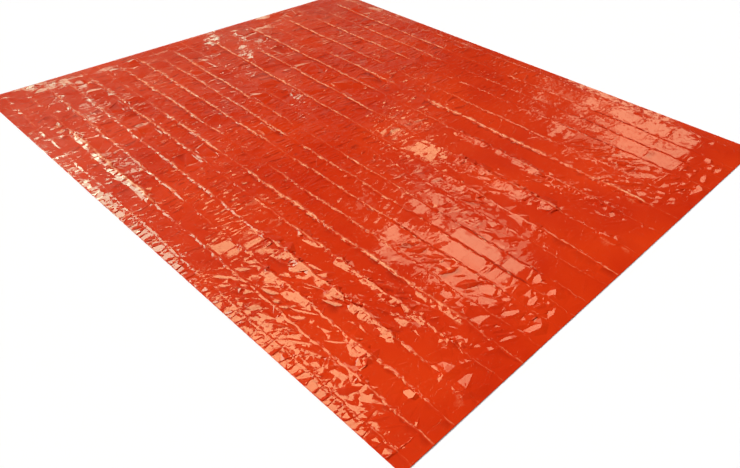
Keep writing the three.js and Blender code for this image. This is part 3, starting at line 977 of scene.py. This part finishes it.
def puckers(net):
    """Adds the puckers that run in from the welded edge."""
    along = PUCKER_STEP_CALM[1]
    while along < LENGTH - PUCKER_STEP_CALM[1]:
        busy = PUCKER_FROM < along < PUCKER_TO
        slope = dice.uniform(*PUCKER_SLOPE) if busy else dice.uniform(*PUCKER_CALM_BEAT) * PUCKER_SLOPE_CALM
        near = along < PUCKER_STEEP_FROM
        slope = slope * (PUCKER_EASE if near else 1.0 - PUCKER_FAR_EASE * smooth_step(along, *PUCKER_FAR))
        step = dice.uniform(*(PUCKER_STEP if busy else PUCKER_STEP_CALM))
        half = step * PUCKER_FILL
        turn = math.radians(dice.uniform(-PUCKER_TURN, PUCKER_TURN))
        start = (EDGE_WAVER + PUCKER_START, along)
        reach = dice.uniform(*(PUCKER_REACH_NEAR if near else PUCKER_REACH))
        reach = min(reach, fold_line(1 if busy else 0, along) - FOLD_MARGIN - start[0])
        stop = (start[0] + reach * math.cos(turn), along + reach * math.sin(turn))
        if net.is_free(stop, ((start[0] + stop[0]) / 2, (start[1] + stop[1]) / 2)):
            skew = PUCKER_SKEW if along < PUCKER_SKEW_TO else -PUCKER_SKEW
            net.spindle(start, stop, slope * half, half, PUCKER_PALE, open_start=True, skew=skew)
        along += step


def fill_points(net):
    """Adds scattered points between the creases, closer together where the film is crumpled."""
    taken = {(int(across // FILL_CLEAR), int(along // FILL_CLEAR)) for across, along in net.places}
    for pitch, least in ((FILL_PITCH, 0.0), (FILL_PITCH_CRUMPLED, FILL_CRUMPLED_FROM)):
        across, along = scattered(pitch, pitch, FILL_EDGE, FILL_STRAY)
        strengths = crumple_strength(across, along)[0]
        rises = between(FILL_RISE, FILL_RISE_CRUMPLED, strengths) * dice.uniform(-1.0, 1.0, across.shape)
        rises = rises * (1.0 - FILL_FLATNESS * smooth_step(along, *FAR_FROM))
        for *place, strength, rise in zip(across, along, strengths, rises):
            row, column = (int(value // FILL_CLEAR) for value in place)
            around = {(row + i, column + j) for i in (-1, 0, 1) for j in (-1, 0, 1)}
            if strength >= least and not around & taken and net.is_free(place):
                net.point(*place, rise)
                taken.add((row, column))


def triangulate(net):
    """Fills the net with facets. Returns places, anchors, relief and crease of all points, faces, and where
    each of the net's points went. A point where two creases cross takes the mean of their heights there."""
    points = [Vector(place) for place in net.places]
    found = delaunay_2d_cdt(points, net.edges, [], 0, MERGE_WITHIN, True)
    places = np.array([tuple(v) for v in found[0]])
    moved = {}
    values = np.zeros((len(places), 3))
    anchors = places.copy()
    for new, olds in enumerate(found[3]):
        for old in olds:
            moved[old] = new
            anchors[new] = net.anchors[old]
            values[new] += (net.relief[old], net.crease[old], 1.0)
    known = values[:, 2] > 0
    for edge, olds in zip(found[1], found[4]):
        if all(known[list(edge)]):
            continue
        for old in olds:
            p, q = net.edges[old]
            start, run = np.array(net.places[p]), np.subtract(net.places[q], net.places[p])
            for new in edge:
                if not known[new]:
                    share = np.dot(places[new] - start, run) / np.dot(run, run)
                    relief = between(net.relief[p], net.relief[q], share)
                    crease = between(net.crease[p], net.crease[q], share)
                    values[new] += (relief, crease, 1.0)
    counts = np.maximum(values[:, 2], 1.0)
    return places, anchors, values[:, 0] / counts, values[:, 1] / counts, np.array(found[2]), moved


def fold_sways():
    """For each lengthwise fold: stations along it and its height at each, in straight runs between them."""
    sways = []
    for fold in LENGTH_FOLDS:
        stations = [0.0]
        while stations[-1] < LENGTH:
            stations.append(stations[-1] + dice.uniform(*SWAY_STEP))
        calm = 1.0 - SWAY_FLATNESS * smooth_step(np.array(stations), *FAR_FROM)
        sways.append((stations, fold.lift + SWAY_HEIGHT * calm * dice.uniform(-1.0, 1.0, len(stations))))
    return sways


def film_heights(across, along, relief):
    """Height of the upper layer over the floor, from its creases' relief."""
    lines = np.array([fold_line(index, along) for index in range(len(LENGTH_FOLDS))])
    lifts = np.array([np.interp(along, *sway) for sway in fold_sways()])
    lift = np.array([np.interp(a, lines[:, k], lifts[:, k]) for k, a in enumerate(across)])
    weld_strip = np.interp(along, WELD_STATIONS, WELD_STRIPS)
    inside = smooth_step(across, 0.0, weld_strip) * np.clip((WIDTH - across) / SHOULDER, 0.0, 1.0)
    inside = inside * np.clip((LENGTH - along) / FOOT_SHOULDER, 0.0, 1.0)
    climb = between(WELD_LEVEL, PANEL_LEVEL, np.clip(across / WELD_CLIMB, 0.0, 1.0))
    mouth = np.clip(along / MOUTH_SHOULDER, 0.0, 1.0)
    level = between(MOUTH_LEVEL, climb, mouth)
    height = EDGE_LEVEL + (level - EDGE_LEVEL + lift * between(MOUTH_SWAY, 1.0, mouth)) * inside
    loose = np.maximum(inside, smooth_step(WELD_CLIMB - across, 0.0, weld_strip))
    return np.maximum(height + relief * loose, LOWEST_FILM)


def to_frame(across, along, height):
    """Points of the shared frame, in metres, from film places in millimetres."""
    x = bag_low.x + np.ravel(across) * MM
    y = bag_low.y + np.ravel(along) * MM
    return np.stack([x, y, np.ravel(height) * MM], axis=1)


def zip_faces(upper, under, upper_marks, under_marks):
    """Faces between two lines of points that run the same way, by their marks along the way."""
    faces = []
    i = j = 0
    while i < len(upper) - 1 or j < len(under) - 1:
        more_upper = i < len(upper) - 1
        more_under = j < len(under) - 1
        if more_upper and (not more_under or upper_marks[i + 1] <= under_marks[j + 1]):
            faces.append((under[j], upper[i + 1], upper[i]))
            i += 1
        else:
            faces.append((under[j], under[j + 1], upper[i]))
            j += 1
    return faces


def under_layer(first):
    """The plain under layer: places, downward faces, and the numbers of its grid from the first on."""
    across = np.linspace(0.0, WIDTH, int(WIDTH / UNDER_PITCH) + 1)
    along = np.linspace(0.0, LENGTH, int(LENGTH / UNDER_PITCH) + 1)
    places = np.stack([grid.ravel() for grid in np.meshgrid(across, along)], axis=1)
    numbers = first + np.arange(len(places)).reshape(len(along), len(across))
    corner = numbers[:-1, :-1].ravel()
    right, up, both = corner + 1, corner + len(across), corner + len(across) + 1
    faces = np.concatenate([np.stack([corner, both, right], 1), np.stack([corner, up, both], 1)])
    return places, faces, numbers


def rim_faces(edges, places, under_places, numbers):
    """Faces that join the layers along the fold, the foot and the weld."""
    faces = []
    for name, under_edge, axis, way in (
        ("fold", numbers[:, -1], 1, 1),
        ("foot", numbers[-1, ::-1], 0, -1),
        ("weld", numbers[::-1, 0], 1, -1),
    ):
        upper_edge = edges[name][::way]
        upper_marks = places[upper_edge][:, axis] * way
        under_marks = under_places[under_edge - numbers[0, 0]][:, axis] * way
        faces += zip_faces(upper_edge, list(under_edge), upper_marks, under_marks)
    return faces


def creased_net():
    """The upper layer's creases. Returns the net and the point numbers of its four edges."""
    net = FilmNet()
    sides, ends = outline(net)
    length_folds(net, ends)
    flakes(net)
    panes(net)
    dents(net)
    barbs(net)
    cross_folds(net)
    rungs(net)
    puckers(net)
    loose_creases(net)
    cross_wrinkles(net)
    fill_points(net)
    return net, sides


def film_mesh(points, faces, marks):
    """The film's mesh, sharp along its creases, with named marks on the points of its upper layer."""
    mesh = bpy.data.meshes.new("bag_film")
    mesh.from_pydata(points.tolist(), [], faces.tolist())
    for name, values in marks.items():
        layer = mesh.attributes.new(name, "FLOAT", "POINT")
        flat = np.zeros(len(points), np.float32)
        flat[:len(values)] = values
        layer.data.foreach_set("value", flat)
    mesh.polygons.foreach_set("use_smooth", np.ones(len(faces), bool))
    mesh.set_sharp_from_angle(angle=math.radians(SHARP_ANGLE))
    mesh.update()
    return mesh


def add_object(name, data):
    """A new object in the scene."""
    thing = bpy.data.objects.new(name, data)
    bpy.context.scene.collection.objects.link(thing)
    return thing


def build_film():
    """The whole bag as one sheet: creased upper layer, plain under layer, joined at its fold and welds."""
    net, sides = creased_net()
    places, anchors, relief, crease, faces, moved = triangulate(net)
    edges = {name: [moved[point] for point in points] for name, points in sides.items()}
    across, along = places.T
    middles = places[faces].mean(axis=1)
    weld_line = np.interp(middles[:, 1], along[edges["weld"]], across[edges["weld"]])
    faces = faces[middles[:, 0] > weld_line]
    upper = to_frame(across, along, film_heights(*anchors.T, relief))
    under_places, under_faces, numbers = under_layer(len(upper))
    under = to_frame(*under_places.T, np.full(len(under_places), UNDER_LEVEL))
    rims = np.array(rim_faces(edges, places, under_places, numbers))
    marks = {"crease": crease, "crumple": crumple_strength(across, along)[0]}
    mesh = film_mesh(np.concatenate([upper, under]), np.concatenate([faces, under_faces, rims]), marks)
    return add_object("bag_film", mesh)


def node_maker(tree):
    """A short way to add a node, set its values and link its inputs."""

    def make(kind, inputs=None, **settings):
        node = tree.nodes.new(f"ShaderNode{kind}")
        for name, value in settings.items():
            setattr(node, name, value)
        for name, value in (inputs or {}).items():
            socket = node.inputs[name]
            if isinstance(value, bpy.types.NodeSocket):
                tree.links.new(value, socket)
            else:
                socket.default_value = value
        return node

    return make


def ranged(make, value, source=(0.0, 1.0), result=(0.0, 1.0)):
    """A value taken from one range to another."""
    limits = dict(zip(("From Min", "From Max", "To Min", "To Max"), (*source, *result)))
    return make("MapRange", {"Value": value, **limits}).outputs[0]


def noise(make, place, scale, detail):
    """An even, cloudy pattern."""
    return make("TexNoise", {"Vector": place, "Scale": scale, "Detail": detail}).outputs["Fac"]


def tilted_cells(make, place, scale):
    """Heights of cells that each lean their own way."""
    cells = make("TexVoronoi", {"Vector": place, "Scale": scale, "Randomness": 1.0})
    away = make("VectorMath", {0: place, 1: cells.outputs["Position"]}, operation="SUBTRACT")
    lean = make("VectorMath", {0: cells.outputs["Color"], 1: MID_COLOUR}, operation="SUBTRACT")
    height = make("VectorMath", {0: away.outputs[0], 1: lean.outputs[0]}, operation="DOT_PRODUCT")
    return height.outputs["Value"]


def film_colour(make, place, crease, cloud):
    """Clouded orange, pale and then white along a ridge, partly as wear and partly as painted highlight, and
    dark with painted shade at a ridge's foot and on dark ridges. Returns the colour and the mask of wear and
    painted highlight."""
    grain = noise(make, place, GRAIN_PER_METRE, FINE_DETAIL)
    grained_wear_and_highlight = make("Math", {0: crease, 1: grain}, operation="MULTIPLY").outputs[0]
    wear_and_painted_light = ranged(make, grained_wear_and_highlight, PALE_RANGE)
    layers = (
        (ranged(make, cloud, CLOUD_RANGE), ORANGE_LIGHT),
        (wear_and_painted_light, CREASE_PALE),
        (ranged(make, grained_wear_and_highlight, WHITE_RANGE), CREASE_WHITE),
        (ranged(make, crease, PAINTED_SHADE_RANGE), CREASE_PAINTED_SHADE),
    )
    colour = ORANGE
    for share, other in layers:
        mix = make("Mix", {"Factor": share, "A": colour, "B": other}, data_type="RGBA")
        colour = mix.outputs["Result"]
    return colour, wear_and_painted_light


def film_bump(make, place, crumple):
    """The film's finest relief: small tilted cells, mostly where it is crumpled, wide ones far from the
    mouth, and ripples."""
    cells = tilted_cells(make, place, CELLS_PER_METRE)
    tilt = ranged(make, crumple, result=CELL_TILT)
    fine = make("Math", {0: cells, 1: tilt}, operation="MULTIPLY").outputs[0]
    wide_place = make("VectorMath", {0: place, 1: PATCHES_PER_METRE}, operation="MULTIPLY").outputs[0]
    patches = tilted_cells(make, wide_place, 1.0)
    ahead = make("SeparateXYZ", {"Vector": place}).outputs["Y"]
    slant = ranged(make, ahead, PATCH_FROM, PATCH_TILT)
    wide = make("Math", {0: patches, 1: slant, 2: fine}, operation="MULTIPLY_ADD").outputs[0]
    ripple = noise(make, place, RIPPLES_PER_METRE, FINE_DETAIL)
    height = make("Math", {0: ripple, 1: RIPPLE_HEIGHT, 2: wide}, operation="MULTIPLY_ADD").outputs[0]
    return make("Bump", {"Height": height, "Distance": 1.0, "Strength": 1.0}).outputs[0]


def film_material():
    """Glossy orange film with a haze under a clear coat, duller along its worn creases and paler there, the
    paleness partly wear and partly painted highlight.
    """
    material = bpy.data.materials.new("orange_film")
    material.use_nodes = True
    tree = material.node_tree
    tree.nodes.clear()
    make = node_maker(tree)
    place = make("TexCoord").outputs["Object"]
    crease = make("Attribute", attribute_name="crease").outputs["Fac"]
    crumple = make("Attribute", attribute_name="crumple").outputs["Fac"]
    cloud = noise(make, place, CLOUDS_PER_METRE, CLOUD_DETAIL)
    colour, wear_and_painted_light = film_colour(make, place, crease, cloud)
    bump = film_bump(make, place, crumple)
    gloss = ranged(make, cloud, result=GLOSS)
    dull = make("Mix", {"Factor": wear_and_painted_light, "A": gloss, "B": WORN_ROUGHNESS}).outputs["Result"]
    skin = make(
        "BsdfPrincipled",
        {
            "Base Color": colour,
            "Roughness": HAZE_ROUGHNESS,
            "Specular IOR Level": HAZE_LEVEL,
            "Normal": bump,
            "Coat Weight": ranged(make, wear_and_painted_light, result=(COAT_SHARE, COAT_SHARE_WORN)),
            "Coat Roughness": dull,
            "Coat Normal": bump,
        },
    )
    make("OutputMaterial", {"Surface": skin.outputs[0]})
    return material


def floor():
    """A plain white floor."""
    half = FLOOR_HALF
    mesh = bpy.data.meshes.new("floor")
    corners = [(-half, -half, 0), (half, -half, 0), (half, half, 0), (-half, half, 0)]
    mesh.from_pydata(corners, [], [(0, 1, 2, 3)])
    material = bpy.data.materials.new("floor_white")
    material.use_nodes = True
    shader = material.node_tree.nodes["Principled BSDF"]
    shader.inputs["Base Color"].default_value = FLOOR_WHITE
    shader.inputs["Roughness"].default_value = FLOOR_ROUGHNESS
    shader.inputs["Specular IOR Level"].default_value = 0.0
    mesh.materials.append(material)
    plane = add_object("floor", mesh)


def backdrop():
    """A plain pale wall round the floor, which only the camera sees."""
    turns = np.linspace(0.0, 2 * math.pi, BACKDROP_SIDES, endpoint=False)
    ring = np.stack([np.cos(turns), np.sin(turns)], axis=1) * BACKDROP_RADIUS
    points = [(*place, height) for height in (0.0, BACKDROP_HEIGHT) for place in ring]
    faces = []
    for k in range(BACKDROP_SIDES):
        after = (k + 1) % BACKDROP_SIDES
        faces.append((k, after, after + BACKDROP_SIDES, k + BACKDROP_SIDES))
    mesh = bpy.data.meshes.new("backdrop")
    mesh.from_pydata(points, [], faces)
    material = bpy.data.materials.new("backdrop_white")
    material.use_nodes = True
    material.cycles.emission_sampling = "NONE"
    shader = material.node_tree.nodes["Principled BSDF"]
    shader.inputs["Base Color"].default_value = FLOOR_WHITE
    shader.inputs["Emission Color"].default_value = FLOOR_WHITE
    shader.inputs["Emission Strength"].default_value = BACKDROP_GLOW
    mesh.materials.append(material)
    wall = add_object("backdrop", mesh)
    wall.visible_diffuse = False
    wall.visible_glossy = False
    wall.visible_shadow = False


# Lights: softboxes under the ceiling that face down and cards behind the bag that face it, with their middle,
# width, length or height, radiance and colour.
WARM = (1.0, 0.86, 0.52)
AMBER = (1.0, 0.92, 0.48)
WALL = (0.35, 1.0, 0.80)
HORIZON = (0.92, 1.0, 0.61)
RIM = (0.50, 1.0, 0.74)
SoftLight = namedtuple("SoftLight", "name place width length radiance colour faces_down")
SOFT_LIGHTS = table(
    SoftLight,
    ("softbox_left", (-0.26, 0.95, 2.45), 1.10, 1.60, 8.2, AMBER, True),
    ("card_low", (0.32, 3.52, 0.42), 0.95, 0.66, 1.2, RIM, False),
    ("card_right", (1.75, 3.55, 0.38), 0.80, 0.60, 1.2, RIM, False),
    ("horizon", (2.50, 3.60, 0.37), 10.0, 0.74, 0.95, HORIZON, False),
)

# Level softboxes, by what flat film shows of them: middle and half sizes on the film, then the softbox's
# height, radiance and colour.
Reflection = namedtuple("Reflection", "name across along half_across half_along height radiance colour")
REFLECTIONS = table(
    Reflection,
    ("near_body", 593, 298, 30, 128, 1.9, 5.2, WARM),
    ("near_middle", 664, 298, 40, 123, 1.9, 5.2, WARM),
    ("near_dim", 749, 362, 43, 148, 1.9, 2.3, WARM),
    ("near_far_left", 529, 528, 34, 36, 1.9, 5.2, WARM),
    ("near_far_middle", 661, 573, 31, 36, 1.9, 4.2, WARM),
    ("near_far_right", 756, 567, 36, 45, 1.9, 3.8, WARM),
    ("near_left", 517, 277, 45, 98, 1.9, 4.6, WARM),
    ("near_small", 654, 479, 24, 31, 1.9, 4.6, WARM),
    ("near_ring", 517, 436, 45, 51, 1.9, 3.6, WARM),
    ("right_body", 1481, 244, 41, 113, 1.4, 3.0, WARM),
    ("right_body_far", 1481, 394, 41, 32, 1.4, 1.6, WARM),
    ("right_middle", 1566, 277, 36, 143, 1.4, 2.8, WARM),
    ("right_side", 1670, 258, 50, 112, 1.4, 2.9, WARM),
    ("right_side_far", 1676, 570, 38, 38, 1.4, 2.9, WARM),
    ("right_side_middle", 1682, 432, 50, 58, 1.4, 3.1, WARM),
    ("right_far_left", 1380, 531, 51, 33, 1.4, 2.9, WARM),
    ("right_far_middle", 1564, 566, 34, 28, 1.4, 2.3, WARM),
    ("right_left", 1390, 240, 43, 100, 1.4, 2.6, WARM),
    ("right_edge", 1766, 515, 29, 103, 1.4, 2.5, WARM),
    ("right_shoulder", 2396, 722, 170, 230, 1.4, 2.6, WARM),
    ("right_small", 1557, 470, 27, 31, 1.4, 2.5, WARM),
    ("right_ring", 1377, 434, 54, 49, 1.4, 1.3, WARM),
    ("patch_left", 168, 792, 76, 37, 1.9, 6.5, AMBER),
    ("patch_left_near", 227, 738, 38, 40, 1.9, 6.0, AMBER),
    ("patch_right", 888, 824, 54, 36, 1.54, 4.8, AMBER),
    ("patch_right_near", 946, 764, 54, 60, 1.54, 4.6, AMBER),
    ("bar_one", 1395, 743, 45, 9, 1.4, 2.3, WARM),
    ("bar_two", 1490, 716, 50, 16, 1.4, 2.3, WARM),
    ("bar_three", 1705, 788, 76, 12, 1.4, 2.0, WARM),
    ("bar_four", 1690, 745, 60, 10, 1.4, 1.7, WARM),
    ("band_left", 215, 838, 125, 14, 1.9, 1.7, AMBER),
    ("band_right", 1010, 868, 110, 14, 1.54, 1.4, WARM),
    ("dim_middle", 760, 655, 46, 34, 1.9, 1.2, WARM),
    ("dim_right", 1680, 655, 56, 34, 1.4, 0.9, WARM),
    ("dim_step", 560, 690, 40, 20, 1.9, 1.4, WARM),
    ("dim_step_right", 1480, 690, 46, 24, 1.4, 1.1, WARM),
    ("rim_strip", -330, 1290, 215, 190, 2.1, 8.0, RIM),
    ("rim_far", -195, 1400, 135, 190, 0.6, 7.0, RIM),
    ("glint_foot_right", 970, 2096, 34, 22, 0.4, 6.0, RIM),
    ("glint_middle", 884, 1392, 17, 15, 0.15, 5.0, RIM),
    ("glint_far", 938, 1790, 22, 30, 0.15, 5.0, RIM),
    ("glint_far_middle", 1048, 1832, 24, 9, 0.15, 3.0, RIM),
    ("glint_far_top", 1066, 1985, 14, 16, 0.15, 4.5, RIM),
    ("glint_foot_left", 224, 2080, 26, 32, 0.15, 5.0, RIM),
    ("glint_left_top", 297, 1952, 18, 22, 0.15, 4.5, RIM),
    ("glint_left_far", 214, 1747, 15, 36, 0.15, 4.5, RIM),
    ("glint_left_middle", 292, 1792, 22, 9, 0.15, 3.5, RIM),
    ("glint_left", 160, 1364, 20, 46, 0.15, 4.5, RIM),
    ("glint_high", -215, 965, 185, 200, 2.2, 9.0, RIM),
)

# The wall behind the bag, as pale strips between two heights, each with its radiance.
WALL_MIDDLE = (1.20, 3.50)
WALL_LENGTH = 7.0
WallStrip = namedtuple("WallStrip", "low high radiance")
WALL_STRIPS = table(
    WallStrip,
    (0.78, 1.12, 0.12), (1.18, 1.28, 0.28), (1.36, 1.44, 0.36), (1.52, 1.60, 0.42), (1.69, 1.77, 0.37),
    (1.88, 1.96, 0.31), (2.08, 2.16, 0.28), (2.30, 2.38, 0.28), (2.56, 2.64, 0.25), (2.85, 2.93, 0.22),
)

# Suns light the film's own colour and show in no reflection: azimuth, elevation, spread in degrees, strength.
Sun = namedtuple("Sun", "name azimuth elevation spread strength")
SUNS = table(
    Sun,
    ("key", 95.0, 50.0, 14.0, 2.9),
    ("fill", 0.0, 90.0, 60.0, 1.0),
)
SURROUND = (0.045, 0.035, 0.025, 1.0)


def direction(azimuth, elevation):
    """Unit vector towards an azimuth from +X and a height angle, both in degrees."""
    a, e = math.radians(azimuth), math.radians(elevation)
    return Vector((math.cos(e) * math.cos(a), math.cos(e) * math.sin(a), math.sin(e)))


def overhead(entry):
    """The level softbox that flat film shows at a place to the photograph's camera."""
    eye = Vector(CAMERA_PLACE)
    spot = Vector(to_frame(entry.across, entry.along, PANEL_LEVEL)[0])
    reach = 1.0 + (entry.height - spot.z) / (eye.z - spot.z)
    place = eye + (spot - eye) * reach
    scale = 2 * MM * reach
    size = (entry.half_across * scale, entry.half_along * scale)
    return SoftLight(entry.name, (place.x, place.y, entry.height), *size, entry.radiance, entry.colour, True)


def soft_lights():
    """All softboxes and cards."""
    return [*SOFT_LIGHTS, *(overhead(entry) for entry in REFLECTIONS)]


def wall_lights():
    """The strips of the wall as light cards."""
    across, back = WALL_MIDDLE
    cards = []
    for strip in WALL_STRIPS:
        place = (across, back, (strip.low + strip.high) / 2)
        size = (WALL_LENGTH, strip.high - strip.low)
        cards.append(SoftLight(f"wall_{strip.low}", place, *size, strip.radiance, WALL, False))
    return cards


def lights():
    """A soft key from above, softboxes and cards that show in the film, and a dim surround."""
    for entry in (*soft_lights(), *wall_lights()):
        lamp = bpy.data.lights.new(entry.name, "AREA")
        lamp.shape = "RECTANGLE"
        lamp.size = entry.width
        lamp.size_y = entry.length
        lamp.color = entry.colour
        lamp.energy = entry.radiance * math.pi * entry.width * entry.length
        light = add_object(entry.name, lamp)
        light.visible_diffuse = False
        light.visible_camera = False
        light.location = entry.place
        light.rotation_euler = (0.0 if entry.faces_down else -math.pi / 2, 0.0, 0.0)
    for entry in SUNS:
        lamp = bpy.data.lights.new(entry.name, "SUN")
        lamp.energy = entry.strength
        lamp.angle = math.radians(entry.spread)
        light = add_object(entry.name, lamp)
        light.visible_glossy = False
        light.rotation_euler = direction(entry.azimuth, entry.elevation).to_track_quat("Z", "Y").to_euler()
    surround()


def surround():
    """A dim, even room around."""
    world = bpy.data.worlds.new("surround")
    bpy.context.scene.world = world
    world.use_nodes = True
    world.node_tree.nodes["Background"].inputs["Color"].default_value = SURROUND


def camera():
    """The photograph's camera."""
    data = bpy.data.cameras.new("camera")
    data.sensor_width = SENSOR_WIDTH
    data.lens = CAMERA_LENS
    view = add_object("camera", data)
    view.location = CAMERA_PLACE
    view.rotation_euler = Euler([math.radians(angle) for angle in CAMERA_TURN], "XYZ")
    bpy.context.scene.camera = view
    bpy.context.scene.view_settings.view_transform = "Standard"


camera()
floor()
backdrop()
lights()
film = build_film()
film.data.materials.append(film_material())
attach(film, "root")
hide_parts(NODE)
